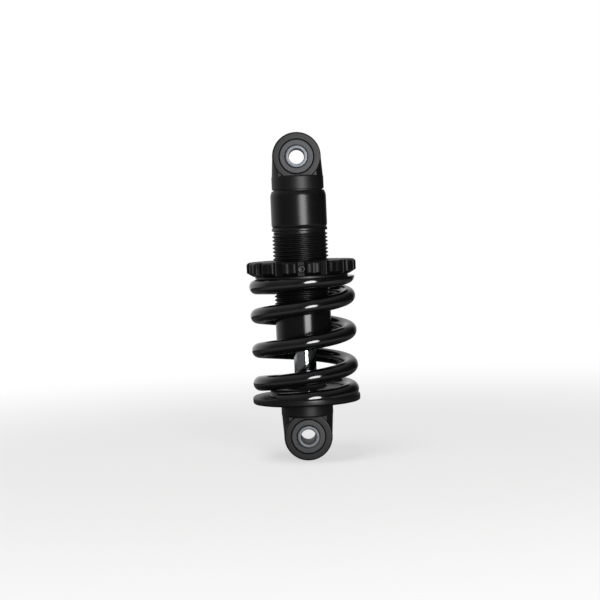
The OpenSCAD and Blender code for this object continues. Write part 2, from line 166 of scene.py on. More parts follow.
def eased(bm, width, angle=35, segments=3):
    """The same solid with its sharp outer edges rounded off."""
    sharp = [e for e in bm.edges if e.is_convex and e.calc_face_angle(0) > math.radians(angle)]
    bmesh.ops.bevel(
        bm, geom=sharp, affect="EDGES", offset=width, segments=segments, profile=0.5, material=-1,
        clamp_overlap=True
    )
    return bm


def piece(bm, name, finish, sharp_angle=32):
    """An object made from a solid, smooth apart from its sharp edges, in one finish."""
    for face in bm.faces:
        face.smooth = True
    for edge in bm.edges:
        edge.smooth = edge.calc_face_angle(math.pi) < math.radians(sharp_angle)
    mesh = bpy.data.meshes.new(name)
    in_order(bm).to_mesh(mesh)
    bm.free()
    mesh.materials.append(finish)
    made = bpy.data.objects.new(name, mesh)
    bpy.context.scene.collection.objects.link(made)
    made.modifiers.new("flat_faces_stay_flat", "WEIGHTED_NORMAL").keep_sharp = True
    return made


def linear(code):
    """An sRGB hex colour as linear RGBA."""
    parts = [int(code[i:i + 2], 16) / 255 for i in (1, 3, 5)]
    return [c / 12.92 if c <= 0.04045 else ((c + 0.055) / 1.055) ** 2.4 for c in parts] + [1]


def add(tree, kind, inputs=None, **settings):
    """Adds a shader node. An input that is a socket is linked, and any other is set.

    A Mix node's inputs go by number: 0 is its factor, 2 and 3 are its values, 6 and 7 its colours.
    """
    made = tree.nodes.new("ShaderNode" + kind)
    for name, value in settings.items():
        setattr(made, name, value)
    for name, value in (inputs or {}).items():
        if isinstance(value, bpy.types.NodeSocket):
            tree.links.new(value, made.inputs[name])
        else:
            made.inputs[name].default_value = value
    return made


def new_finish(name):
    """A new material with its tree, its Principled shader and Object coordinates."""
    finish = bpy.data.materials.new(name)
    finish.use_nodes = True
    tree = finish.node_tree
    tree.nodes.clear()
    shader = add(tree, "BsdfPrincipled")
    add(tree, "OutputMaterial", {"Surface": shader.outputs["BSDF"]})
    return finish, tree, shader, add(tree, "TexCoord").outputs["Object"]


def turning_marks(tree, place, pitch):
    """Rings left by a lathe tool on faces turned about Z: a wave over radius and height, from 0 to 1."""
    axes = add(tree, "SeparateXYZ", {0: place})
    flat = add(tree, "CombineXYZ", {"X": axes.outputs["X"], "Y": axes.outputs["Y"]})
    radius = add(tree, "VectorMath", {0: flat.outputs[0]}, operation="LENGTH")
    along = add(tree, "Math", {0: radius.outputs["Value"], 1: axes.outputs["Z"]}, operation="ADD")
    wander = add(tree, "TexNoise", {"Vector": place, "Scale": 1 / (9 * mm), "Detail": 2})
    phase = add(
        tree, "Math", {0: along.outputs[0], 1: math.tau / pitch, 2: wander.outputs["Fac"]},
        operation="MULTIPLY_ADD"
    )
    wave = add(tree, "Math", {0: phase.outputs[0]}, operation="SINE")
    return add(tree, "MapRange", {"Value": wave.outputs[0], "From Min": -1, "From Max": 1}).outputs[0]


def painted_edge_highlight(tree, place, reach):
    """A painted highlight along edges, from 0 on open faces to 1: where normals within reach differ, broken
    by noise.
    """
    soft = add(tree, "Bevel", {"Radius": reach}, samples=4)
    true = add(tree, "NewGeometry")
    alike = add(tree, "VectorMath", {0: soft.outputs[0], 1: true.outputs["Normal"]}, operation="DOT_PRODUCT")
    edge_bend = add(tree, "MapRange", {"Value": alike.outputs["Value"], "From Min": 0.995, "From Max": 0.86})
    patches = add(tree, "TexNoise", {"Vector": place, "Scale": 1 / (3 * mm), "Detail": 3})
    broken = add(tree, "MapRange", {"Value": patches.outputs["Fac"], "From Min": 0.38, "From Max": 0.62})
    return add(tree, "Math", {0: edge_bend.outputs[0], 1: broken.outputs[0]}, operation="MULTIPLY").outputs[0]


def anodised(name, smooth, rough, ring_depth, grain_depth, sheen=0.5):
    """Black anodised aluminium: a deep black with a faint grain, rings where a lathe cut it and edges a
    little greyer, which is a painted highlight along them. The rings are drawn about four times too coarse,
    so that they show.
    """
    finish, tree, shader, place = new_finish(name)
    marks = turning_marks(tree, place, 0.8 * mm)
    clouds = add(tree, "TexNoise", {"Vector": place, "Scale": 1 / (12 * mm), "Detail": 4, "Roughness": 0.6})
    grain = add(tree, "TexNoise", {"Vector": place, "Scale": 1 / (0.5 * mm), "Detail": 2})
    edge_highlight = painted_edge_highlight(tree, place, 0.35 * mm)
    dye = add(
        tree, "Mix", {0: clouds.outputs["Fac"], 6: linear("#09090a"), 7: linear("#0e0e0f")},
        data_type="RGBA"
    )
    # The edges are mixed toward a lighter grey: a painted highlight along them.
    colour = add(tree, "Mix", {0: edge_highlight, 6: dye.outputs[2], 7: linear("#212225")}, data_type="RGBA")
    satin = add(tree, "MapRange", {"Value": clouds.outputs["Fac"], "To Min": smooth, "To Max": rough})
    ringed = add(tree, "Math", {0: marks, 1: ring_depth / 2, 2: satin.outputs[0]}, operation="MULTIPLY_ADD")
    relief = 0.03 * mm
    blast = add(tree, "Bump", {"Height": grain.outputs["Fac"], "Strength": grain_depth, "Distance": relief})
    rings = add(
        tree, "Bump",
        {"Height": marks, "Strength": ring_depth, "Distance": relief, "Normal": blast.outputs[0]}
    )
    tree.links.new(colour.outputs[2], shader.inputs["Base Color"])
    tree.links.new(ringed.outputs[0], shader.inputs["Roughness"])
    tree.links.new(rings.outputs[0], shader.inputs["Normal"])
    shader.inputs["IOR"].default_value = 1.43
    shader.inputs["Specular IOR Level"].default_value = sheen
    return finish


blasted = anodised("blasted_black_aluminium", smooth=0.4, rough=0.5, ring_depth=0, grain_depth=0.14)
eye_radius = 13 * mm
eye_width = 20 * mm
bush_radius = 9 * mm
neck_radius = 14 * mm
neck_height = 7.4 * mm
neck_edge = 0.4 * mm
cap_drop = 17.4 * mm
rim = 0.9 * mm
step_in = 0.6 * mm
# How far a shape keeps off a face that it would share, and how far a tool runs past what it cuts
hair = 0.1 * mm
overrun = 1 * mm


def eye_lug(drop):
    """A bolt eye at the origin on a round neck that reaches down by drop, with flats on both sides."""
    half = eye_width / 2
    eye = placed(turned([
        (0, -half, 0),
        (eye_radius, -half, rim),
        (eye_radius, half, rim),
        (0, half, 0),
    ]), turn=90)
    inside_neck = neck_height / 2 - drop
    web = prism([
        (-neck_radius, inside_neck, 0),
        (neck_radius, inside_neck, 0),
        (eye_radius, 0, 0),
        (-eye_radius, 0, 0),
    ], eye_width - 2 * step_in)
    bar_radius = neck_radius - hair
    bar = turned([(0, -drop, 0), (bar_radius, -drop, 0), (bar_radius, overrun, 0), (0, overrun, 0)])
    web = eased(worked(web, bar, "INTERSECT"), rim)
    neck = turned([
        (0, -drop, 0),
        (neck_radius, -drop, neck_edge),
        (neck_radius, neck_height - drop, rim),
        (0, neck_height - drop, 0),
    ])
    return worked(worked(web, neck, "UNION"), eye, "UNION")


def eye_bore():
    """The tool that bores an eye at the origin, with a small chamfer at each mouth."""
    half = eye_width / 2
    mouth = 0.6 * mm
    return placed(turned([
        (0, -neck_radius, 0),
        (bush_radius + mouth, -neck_radius, 0),
        (bush_radius + mouth, -half, 0),
        (bush_radius, mouth - half, 0),
        (bush_radius, half - mouth, 0),
        (bush_radius + mouth, half, 0),
        (bush_radius + mouth, neck_radius, 0),
        (0, neck_radius, 0),
    ]), turn=90)


cap_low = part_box("upper_eye_cap")[0].z
body_low, body_high = (corner.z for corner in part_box("damper_body"))
ring_low, ring_high = (corner.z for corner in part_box("cap_o_ring"))
plug_radius = 11.98 * mm
step_radius = 13.3 * mm
groove_radius = 10.1 * mm
plug = turned([
    (0, cap_low, 0),
    (plug_radius, cap_low, 0.6 * mm),
    (plug_radius, ring_low, 0),
    (groove_radius, ring_low, 0),
    (groove_radius, ring_high, 0),
    (plug_radius, ring_high, 0),
    (plug_radius, body_high, 0),
    (step_radius, body_high, 0),
    (step_radius, overrun - cap_drop, 0),
    (0, overrun - cap_drop, 0),
])
cap = worked(worked(eye_lug(cap_drop), plug, "UNION"), eye_bore(), "DIFFERENCE")
screw_low, screw_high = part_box("fill_screw")
screw_height = (screw_low.z + screw_high.z) / 2
screw_radius = 2.5 * mm
countersink = 0.7 * mm
pocket = turned([
    (0, screw_low.y, 0),
    (screw_radius, screw_low.y, 0),
    (screw_radius, neck_radius - countersink, 0),
    (screw_radius + countersink, neck_radius, 0),
    (screw_radius + countersink, neck_radius + overrun, 0),
    (0, neck_radius + overrun, 0),
])
cap = worked(cap, placed(pocket, turn=-90, move=(0, 0, screw_height)), "DIFFERENCE")
eye_cap = piece(cap, "cap_with_eye", blasted)
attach(eye_cap, "damper")
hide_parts("upper_eye_cap")

# Gas fill screw
# A short zinc-plated steel screw with a hexagon socket. It closes the gas passage at the back of the cap,
# through which the damper is charged.


def bright_zinc():
    """Zinc-plated steel: a mid-grey metal with a soft sheen, uneven where the bath left it duller."""
    finish, tree, shader, place = new_finish("zinc_plated_steel")
    clouds = add(tree, "TexNoise", {"Vector": place, "Scale": 1 / (4 * mm), "Detail": 5, "Roughness": 0.65})
    fine = add(tree, "TexNoise", {"Vector": place, "Scale": 1 / (0.6 * mm), "Detail": 2})
    tone = add(
        tree, "Mix", {0: clouds.outputs["Fac"], 6: linear("#676c71"), 7: linear("#858a8f")},
        data_type="RGBA"
    )
    dull = add(tree, "MapRange", {"Value": clouds.outputs["Fac"], "To Min": 0.6, "To Max": 0.5})
    bump = add(tree, "Bump", {"Height": fine.outputs["Fac"], "Strength": 0.15, "Distance": 0.03 * mm})
    tree.links.new(tone.outputs[2], shader.inputs["Base Color"])
    tree.links.new(dull.outputs[0], shader.inputs["Roughness"])
    tree.links.new(bump.outputs[0], shader.inputs["Normal"])
    shader.inputs["Metallic"].default_value = 1
    return finish


def socket_screw(radius, length, key_radius, key_depth):
    """A headless screw along Z from the origin, with a hexagon socket in its upper end."""
    end_rounding = 0.3 * mm
    shank = turned([
        (0, 0, 0),
        (radius, 0, end_rounding),
        (radius, length, end_rounding),
        (0, length, 0),
    ], steps=48)
    key = bmesh.new()
    bmesh.ops.create_cone(
        key, cap_ends=True, segments=6, radius1=key_radius, radius2=key_radius, depth=2 * key_depth
    )
    keyed = worked(shank, placed(key, move=(0, 0, length)), "DIFFERENCE")
    return eased(keyed, 0.12 * mm, angle=50, segments=2)


zinc = bright_zinc()
# Play round a piece that is pressed, pushed or screwed into another
slip = 0.02 * mm
screw_length = screw_high.y - screw_low.y
fill = socket_screw(screw_radius - slip, screw_length, screw_radius / 2, screw_length / 2)
fill_screw = piece(placed(fill, turn=-90, move=(0, screw_low.y, screw_height)), "gas_fill_screw", zinc)
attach(fill_screw, "damper")
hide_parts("fill_screw")

# Damper body
# A drawn aluminium tube, plain above, then grooved and threaded for the collar, and turned down below the
# thread. It is anodised black after threading, so the flanks and crests are one satin black.
black_anodised = anodised(
    "black_anodised_aluminium", smooth=0.25, rough=0.31, ring_depth=0.07, grain_depth=0.06, sheen=0.44
)
tube_radius = 13.9 * mm
outer_radius = 15 * mm
bore_radius = 12 * mm
taper_low = body_high - 2.2 * mm
plain_low = body_high - 19 * mm
bead_high = plain_low - 1.2 * mm
bead_low = bead_high - 1.4 * mm
thread_high = bead_low - 0.8 * mm
thread_low = thread_high - 40 * mm
clip_low, clip_high = (corner.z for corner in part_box("retaining_ring"))
clip_groove = bore_radius + 0.62 * mm
taper_depth = 0.9 * mm
v_depth = 0.6 * mm
run_in = 0.1 * mm
slices = 96
core = turned([
    (tube_radius, thread_high + run_in, 0),
    (tube_radius, bead_low, 0.2 * mm),
    (outer_radius, bead_low, 0.4 * mm),
    (outer_radius, bead_high, 0.5 * mm),
    (outer_radius - v_depth, (plain_low + bead_high) / 2, 0),
    (outer_radius, plain_low, 0.8 * mm),
    (outer_radius, taper_low, 0.9 * mm),
    (outer_radius - taper_depth, body_high, 0.3 * mm),
    (bore_radius, body_high, 0.3 * mm),
    (bore_radius, clip_high, 0),
    (clip_groove, clip_high, 0),
    (clip_groove, clip_low, 0),
    (bore_radius, clip_low, 0),
    (bore_radius, body_low, 0.2 * mm),
    (tube_radius, body_low, 0.8 * mm),
    (tube_radius, thread_low - run_in, 0),
], steps=slices, ends_open=True)

# The thread is its own outline spun up by one pitch a turn, trimmed to length and faded out at both ends.
pitch = 2 * mm
crest = 0.3 * mm
root = 0.3 * mm
flank = (pitch - crest - root) / 2
ridges = round((thread_high - thread_low) / pitch)
thread = bmesh.new()
ladder = []
for ridge in range(-2, ridges + 1):
    foot = thread_low + ridge * pitch
    for radius, height in (
        (tube_radius, foot),
        (outer_radius, foot + flank),
        (outer_radius, foot + flank + crest),
        (tube_radius, foot + pitch - root),
    ):
        ladder.append(thread.verts.new((radius, 0, height)))
for lower, upper in zip(ladder, ladder[1:]):
    thread.edges.new((lower, upper))
bmesh.ops.bevel(
    thread, geom=ladder[1:-1], affect="VERTICES", offset=0.1 * mm, segments=2, profile=0.5, material=-1
)
bmesh.ops.spin(
    thread, geom=thread.verts[:] + thread.edges[:], cent=(0, 0, 0), axis=(0, 0, 1),
    dvec=(0, 0, pitch / slices), angle=math.tau, steps=slices
)
bmesh.ops.remove_doubles(thread, verts=thread.verts[:], dist=0.002 * mm)
for height, keep_below in ((thread_low, False), (thread_high, True)):
    bmesh.ops.bisect_plane(
        thread, geom=thread.verts[:] + thread.edges[:] + thread.faces[:], dist=0.001 * mm,
        plane_co=(0, 0, height), plane_no=(0, 0, 1), clear_outer=keep_below, clear_inner=not keep_below
    )
for v in thread.verts:
    reach = min(thread_high - v.co.z, v.co.z - thread_low)
    radius = math.hypot(v.co.x, v.co.y)
    kept = min(radius, tube_radius + run_in + reach)
    v.co.x *= kept / radius
    v.co.y *= kept / radius

# The tube and its thread become one closed skin: their open rims are bridged above and below.
threads = bpy.data.meshes.new("threads")
thread.to_mesh(threads)
thread.free()
core.from_mesh(threads)
bpy.data.meshes.remove(threads)
rims = [e for e in core.edges if e.is_boundary]
thread_middle = (thread_low + thread_high) / 2
upper_rims = [e for e in rims if e.verts[0].co.z > thread_middle]
lower_rims = [e for e in rims if e.verts[0].co.z < thread_middle]
bmesh.ops.bridge_loops(core, edges=upper_rims)
bmesh.ops.bridge_loops(core, edges=lower_rims)
bmesh.ops.recalc_face_normals(core, faces=core.faces[:])
body = piece(core, "threaded_body", black_anodised)
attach(body, "damper")
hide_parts("damper_body")

# Guide sleeve
# A thin aluminium sleeve round the plain part of the body that keeps the spring off it. It is polished
# before it is anodised, so it shines more than the body.
guide_low, guide_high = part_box("guide_sleeve")
glide = anodised("smooth_black_sleeve", smooth=0.14, rough=0.19, ring_depth=0.04, grain_depth=0.03)
guide = piece(turned([
    (tube_radius + slip, guide_low.z, 0.2 * mm),
    (guide_high.x, guide_low.z, 0.4 * mm),
    (guide_high.x, guide_high.z, 0.4 * mm),
    (tube_radius + slip, guide_high.z, 0.2 * mm),
]), "spring_guide_sleeve", glide)
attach(guide, "damper")
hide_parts("guide_sleeve")

# Preload collar
# A notched aluminium ring that runs on the thread and sets the spring's preload with a hook spanner. Its
# chamfers are turned, its notches and the shallow groove down each tooth are milled, and it is tumbled until
# its edges are round, then anodised.
collar_low, collar_high = (corner.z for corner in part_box("preload_collar"))
collar_radius = 29.5 * mm
collar_bore = 15.1 * mm
notches = 14
notch_width = 4.6 * mm
notch_depth = 2.6 * mm
groove_width = 3.4 * mm
groove_depth = 0.6 * mm
lock_height = (collar_low + collar_high) / 2
floor_of_notch = collar_radius - notch_depth
tooth_pitch = math.tau / notches
half_notch = notch_width / 2 / collar_radius
half_groove = groove_width / 2 / collar_radius
tooth_rounding = 1.6 * mm
notch_rounding = 0.7 * mm
groove_rounding = 0.8 * mm
ring_outline = []
for tooth in range(notches):
    for turn, radius, rounding in (
        (-half_notch, collar_radius, tooth_rounding),
        (-half_notch, floor_of_notch, notch_rounding),
        (half_notch, floor_of_notch, notch_rounding),
        (half_notch, collar_radius, tooth_rounding),
        (tooth_pitch / 2 - half_groove, collar_radius, groove_rounding),
        (tooth_pitch / 2, collar_radius - groove_depth, 0.6 * mm),
        (tooth_pitch / 2 + half_groove, collar_radius, groove_rounding),
    ):
        angle = turn + tooth * tooth_pitch
        ring_outline.append((radius * math.sin(angle), radius * math.cos(angle), rounding))
tall = 2 * (collar_high - collar_low)
rim_of_collar = placed(prism(ring_outline, tall), turn=90, move=(0, 0, lock_height))
upper_chamfer = 1.2 * mm
lower_chamfer_in = 3.5 * mm
lower_chamfer_up = 2.2 * mm
collar = turned([
    (collar_bore, collar_high, 0.5 * mm),
    (collar_radius - upper_chamfer, collar_high, 0.4 * mm),
    (collar_radius + hair, collar_high - upper_chamfer, 0.4 * mm),
    (collar_radius + hair, collar_low + lower_chamfer_up, 0.5 * mm),
    (collar_radius - lower_chamfer_in, collar_low, 0.4 * mm),
    (collar_bore, collar_low, 0.4 * mm),
])
collar = eased(worked(collar, rim_of_collar, "INTERSECT"), 0.3 * mm, angle=40)
lock_radius = 2 * mm
tapping = turned([
    (0, collar_bore - overrun, 0),
    (lock_radius, collar_bore - overrun, 0),
    (lock_radius, floor_of_notch - 0.3 * mm, 0),
    (lock_radius + 0.5 * mm, floor_of_notch + 0.2 * mm, 0),
    (0, floor_of_notch + 0.2 * mm, 0),
], steps=48)
collar = worked(collar, placed(tapping, turn=90, move=(0, 0, lock_height)), "DIFFERENCE")
tumbled = anodised(
    "tumbled_black_aluminium", smooth=0.34, rough=0.42, ring_depth=0.03, grain_depth=0.08, sheen=0.22
)
preload_collar = piece(collar, "notched_collar", tumbled)
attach(preload_collar, "preload_nut")
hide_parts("preload_collar")

# Slip washer
# A thin steel washer between the collar and the spring, so that the collar turns without winding the
# spring up. It is blackened in an oxide bath, which leaves a dark and slightly patchy grey.
washer_low, washer_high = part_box("slip_washer")
oxide, tree, shader, place = new_finish("black_oxide_steel")
patches = add(tree, "TexNoise", {"Vector": place, "Scale": 1 / (6 * mm), "Detail": 5})
tone = add(
    tree, "Mix", {0: patches.outputs["Fac"], 6: linear("#121213"), 7: linear("#242426")},
    data_type="RGBA"
)
dull = add(tree, "MapRange", {"Value": patches.outputs["Fac"], "To Min": 0.3, "To Max": 0.48})
tree.links.new(tone.outputs[2], shader.inputs["Base Color"])
tree.links.new(dull.outputs[0], shader.inputs["Roughness"])
shader.inputs["Metallic"].default_value = 0.4
washer_edge = 0.25 * mm
washer = piece(turned([
    (collar_bore, washer_low.z, washer_edge),
    (washer_high.x, washer_low.z, washer_edge),
    (washer_high.x, washer_high.z, washer_edge),
    (collar_bore, washer_high.z, washer_edge),
]), "slip_washer_ring", oxide)
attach(washer, "preload_washer")
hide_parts("slip_washer")

# Collar lock screw
# A blackened grub screw in the collar's front notch. It is screwed in against the thread, so that the
# collar stays put.
lock_low, lock_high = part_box("collar_lock_screw")
lock_length = lock_high.y - lock_low.y
lock = socket_screw(lock_radius - slip, lock_length, lock_radius / 2, lock_radius)
lock_screw = piece(placed(lock, turn=90, move=(0, lock_high.y, lock_height)), "collar_grub_screw", oxide)
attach(lock_screw, "preload_nut")
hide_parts("collar_lock_screw")

# Coil spring
# One length of 8 mm spring steel, wound to the right, with its end turns closed and ground flat.
# It is dipped in a thick gloss black coat, which flows smooth and throws back hard-edged lights.
coat, tree, shader, place = new_finish("gloss_black_spring_coat")
peel = add(tree, "TexNoise", {"Vector": place, "Scale": 1 / (2.2 * mm), "Detail": 2})
clouds = add(tree, "TexNoise", {"Vector": place, "Scale": 1 / (9 * mm), "Detail": 3})
black = add(
    tree, "Mix", {0: clouds.outputs["Fac"], 6: linear("#070708"), 7: linear("#0b0b0c")},
    data_type="RGBA"
)
gloss = add(tree, "MapRange", {"Value": clouds.outputs["Fac"], "To Min": 0.1, "To Max": 0.15})
bump = add(tree, "Bump", {"Height": peel.outputs["Fac"], "Strength": 0.06, "Distance": 0.1 * mm})
tree.links.new(black.outputs[2], shader.inputs["Base Color"])
tree.links.new(gloss.outputs[0], shader.inputs["Roughness"])
tree.links.new(bump.outputs[0], shader.inputs["Normal"])
shader.inputs["IOR"].default_value = 1.53
shader.inputs["Coat Weight"].default_value = 0.5
shader.inputs["Coat Roughness"].default_value = 0.06

spring_low, spring_high = (corner.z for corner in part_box("coil_spring"))
wire_radius = 4 * mm
wind_radius = 24.5 * mm
tip_sink = 0.9 * mm
tip_angle = math.radians(36)
end_pitch = 8.6 * mm
mid_pitch = 18.7 * mm
closed_turns = 0.6
ramp_turns = 0.6
tip_height = spring_high + tip_sink
coil_height = tip_height - (spring_low - tip_sink)
extra_pitch = mid_pitch - end_pitch
half_turns = (coil_height / 2 + extra_pitch * (closed_turns + ramp_turns / 2)) / mid_pitch
turns = 2 * half_turns
rings_a_turn = 96


def half_drop(turn):
    """How far the wire has come down after so many turns from an end: closed, then opening, then steady."""
    share = min(max((turn - closed_turns) / ramp_turns, 0), 1)
    opened = ramp_turns * (share ** 3 - share ** 4 / 2) + max(0, turn - closed_turns - ramp_turns)
    return end_pitch * turn + extra_pitch * opened


def drop(turn):
    """How far the wire has come down after so many turns from its upper tip."""
    return half_drop(turn) if turn <= half_turns else coil_height - half_drop(turns - turn)


def wound(first, last):
    """The wire from one turn to another, as a closed solid. Each point keeps its turn."""
    bm = bmesh.new()
    turn_of = bm.verts.layers.float.new("turn")
    ring = bmesh.ops.create_circle(bm, segments=32, radius=wire_radius)["verts"]
    bmesh.ops.rotate(bm, verts=ring, cent=(0, 0, 0), matrix=Matrix.Rotation(math.pi / 2, 3, "X"))
    bmesh.ops.translate(bm, verts=ring, vec=(wind_radius, 0, tip_height - drop(first)))
    swing = Matrix.Rotation(tip_angle - math.tau * first, 3, "Z")
    bmesh.ops.rotate(bm, verts=ring, cent=(0, 0, 0), matrix=swing)
    for v in ring:
        v[turn_of] = first
    bm.faces.new(ring)
    edges = bm.edges[:]
    steps = math.ceil((last - first) * rings_a_turn)
    for step in range(1, steps + 1):
        before, after = (first + (last - first) * s / steps for s in (step - 1, step))
        made = bmesh.ops.spin(
            bm, geom=edges, cent=(0, 0, 0), axis=(0, 0, 1), angle=math.tau * (before - after), steps=1,
            dvec=(0, 0, drop(before) - drop(after))
        )["geom_last"]
        for v in (g for g in made if isinstance(g, bmesh.types.BMVert)):
            v[turn_of] = after
        edges = [g for g in made if isinstance(g, bmesh.types.BMEdge)]
    bmesh.ops.contextual_create(bm, geom=edges)
    for height, side in ((spring_high, 1), (spring_low, -1)):
        cut = bmesh.ops.bisect_plane(
            bm, geom=bm.verts[:] + bm.edges[:] + bm.faces[:], dist=0.0001 * mm,
            plane_co=(0, 0, height), plane_no=(0, 0, side), clear_outer=True
        )["geom_cut"]
        bmesh.ops.contextual_create(bm, geom=[g for g in cut if isinstance(g, bmesh.types.BMEdge)])
    bmesh.ops.recalc_face_normals(bm, faces=bm.faces[:])
    return bm


def follow(coil, share):
    """Sets how far each point of a coil follows its second body, from the turn that it lies on."""
    weights = coil.data.attributes["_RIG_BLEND"].data
    for point, turn in zip(weights, coil.data.attributes["turn"].data):
        point.value = min(max(share(turn.value), 0), 1)


split_turn = 1.1
upper_coil = piece(wound(0, split_turn), "spring_upper_turns", coat)
lower_coil = piece(wound(split_turn, turns), "spring_lower_turns", coat)
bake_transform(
    upper_coil, "preload_washer", "damper",
    start=(0, 0, spring_high), end=(0, 0, tip_height - drop(split_turn))
)
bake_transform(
    lower_coil, "damper", "plunger",
    start=(0, 0, tip_height - drop(split_turn)), end=(0, 0, spring_low)
)


def upper_share(turn):
    """The closed turn stays on the washer, and the rest eases over to the damper."""
    share = min(max((turn - closed_turns) / (split_turn - closed_turns), 0), 1)
    return share * share * (3 - 2 * share)


def gap_above(turn):
    """The open room down to a turn from where the coil is split, wire left out."""
    return drop(turn) - drop(split_turn) - 2 * wire_radius * (turn - split_turn)


def lower_share(turn):
    """The turns close up evenly, each by the same share of its gap."""
    return gap_above(turn) / gap_above(turns)


follow(upper_coil, upper_share)
follow(lower_coil, lower_share)
for coil in (upper_coil, lower_coil):
    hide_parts("coil_spring")

# Damper shaft
# A ground steel shaft, hard chromed, with a stub for the piston above and a thread for the lower eye below.
# Chrome over a ground surface is mirror bright, with the finest of rings round it.
chrome, tree, shader, place = new_finish("ground_hard_chrome")
marks = turning_marks(tree, place, 0.7 * mm)
polish = add(tree, "MapRange", {"Value": marks, "To Min": 0.05, "To Max": 0.13})
bump = add(tree, "Bump", {"Height": marks, "Strength": 0.03, "Distance": 0.02 * mm})
tree.links.new(polish.outputs[0], shader.inputs["Roughness"])
tree.links.new(bump.outputs[0], shader.inputs["Normal"])
shader.inputs["Base Color"].default_value = linear("#c6c9cd")
shader.inputs["Metallic"].default_value = 1
shaft_low, shaft_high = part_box("damper_shaft")
nut_low, nut_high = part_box("jam_nut")
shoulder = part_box("rebound_shims")[0].z - 0.025 * mm
shaft_radius = 6 * mm
stub_radius = 4 * mm
end_radius = 5 * mm
shaft = piece(turned([
    (0, shaft_high.z, 0),
    (stub_radius, shaft_high.z, 0.8 * mm),
    (stub_radius, shoulder, 0),
    (shaft_radius, shoulder, 0.3 * mm),
    (shaft_radius, nut_high.z, 0.4 * mm),
    (end_radius, nut_high.z, 0),
    (end_radius, shaft_low.z, 0.6 * mm),
    (0, shaft_low.z, 0),
]), "chromed_shaft", chrome)
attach(shaft, "plunger")
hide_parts("damper_shaft")

# Bump stop
# A moulded rubber cushion on the shaft that the body meets at the end of the stroke. Its waist makes it
# softer, and rubber left to age gets a faint uneven bloom.
rubber, tree, shader, place = new_finish("moulded_black_rubber")
bloom = add(tree, "TexNoise", {"Vector": place, "Scale": 1 / (5 * mm), "Detail": 5, "Roughness": 0.6})
skin = add(tree, "TexNoise", {"Vector": place, "Scale": 1 / (0.7 * mm), "Detail": 3})
tone = add(
    tree, "Mix", {0: bloom.outputs["Fac"], 6: linear("#0d0d0e"), 7: linear("#1d1d1e")},
    data_type="RGBA"
)
matt = add(tree, "MapRange", {"Value": bloom.outputs["Fac"], "To Min": 0.6, "To Max": 0.82})
bump = add(tree, "Bump", {"Height": skin.outputs["Fac"], "Strength": 0.25, "Distance": 0.05 * mm})
tree.links.new(tone.outputs[2], shader.inputs["Base Color"])
tree.links.new(matt.outputs[0], shader.inputs["Roughness"])
tree.links.new(bump.outputs[0], shader.inputs["Normal"])
stop_low, stop_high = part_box("bump_stop")
stop_middle = (stop_low.z + stop_high.z) / 2
stop_radius = stop_high.x
run_gap = 0.05 * mm
waist = 1.4 * mm
half_waist = 0.8 * mm
stop = piece(turned([
    (shaft_radius + run_gap, stop_low.z, 0.3 * mm),
    (stop_radius, stop_low.z, 0.5 * mm),
    (stop_radius, stop_middle - half_waist, 0.6 * mm),
    (stop_radius - waist, stop_middle, 0.4 * mm),
    (stop_radius, stop_middle + half_waist, 0.6 * mm),
    (stop_radius - waist, stop_high.z, 0.7 * mm),
    (shaft_radius + run_gap, stop_high.z, 0.4 * mm),
]), "rubber_bump_stop", rubber)
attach(stop, "plunger")
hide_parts("bump_stop")

# Jam nut
# A zinc-plated hexagon nut that locks the shaft in the lower eye. It is cut from hexagon bar, and its
# corners are chamfered on both faces.
flats = nut_high.y
corner = nut_high.x
nut_edge = 0.9 * mm
hexagon = bmesh.new()
bmesh.ops.create_cone(
    hexagon, cap_ends=True, segments=6, radius1=corner, radius2=corner, depth=nut_high.z - nut_low.z
)
placed(hexagon, move=(0, 0, (nut_low.z + nut_high.z) / 2))
chamfers = turned([
    (end_radius + slip, nut_low.z - overrun, 0),
    (flats - nut_edge, nut_low.z - overrun, 0),
    (flats + hair, nut_low.z + 0.2 * mm, 0),
    (corner + overrun, nut_low.z + nut_edge, 0),
    (corner + overrun, nut_high.z - nut_edge, 0),
    (flats + hair, nut_high.z - 0.2 * mm, 0),
    (flats - nut_edge, nut_high.z + overrun, 0),
    (end_radius + slip, nut_high.z + overrun, 0),
])
nut = eased(worked(hexagon, chamfers, "INTERSECT"), 0.15 * mm, segments=2)
jam_nut = piece(nut, "shaft_jam_nut", zinc)
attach(jam_nut, "plunger")
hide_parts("jam_nut")

# Lower spring seat
# A turned aluminium dish that stands on the lower eye's shoulder, with a spigot that centres the spring.
# It is anodised like the body, and the spring's load holds it in place.
seat_low, seat_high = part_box("lower_spring_seat")
seat_bore = 11.5 * mm
spigot_radius = 20 * mm
flange_high = seat_low.z + 4 * mm
seat = piece(turned([
    (seat_bore, seat_low.z, 0.4 * mm),
    (seat_high.x, seat_low.z, 1.1 * mm),
    (seat_high.x, flange_high, 1.1 * mm),
    (spigot_radius, flange_high, 0.3 * mm),
    (spigot_radius - 0.8 * mm, seat_high.z, 0.7 * mm),
    (seat_bore, seat_high.z, 0.4 * mm),
]), "spring_seat_dish", black_anodised)
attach(seat, "plunger")
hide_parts("lower_spring_seat")

# Lower eye
# An eye like the cap's, upside down, on a neck that is drilled and tapped for the shaft. It is turned
# and milled from aluminium, bead blasted and anodised black.
lower_low, lower_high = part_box("lower_eye")
lower_height = lower_low.z + eye_radius
lower = worked(eye_lug(lower_high.z - lower_height), eye_bore(), "DIFFERENCE")
placed(lower, turn=180, move=(0, 0, lower_height))
hole_low = shaft_low.z - 0.3 * mm
drilling = turned([
    (0, hole_low, 0),
    (end_radius + slip, hole_low, 0),
    (end_radius + slip, lower_high.z + overrun, 0),
    (0, lower_high.z + overrun, 0),
])
lower_eye = piece(worked(lower, drilling, "DIFFERENCE"), "lower_eye_lug", blasted)
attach(lower_eye, "plunger")
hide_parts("lower_eye")

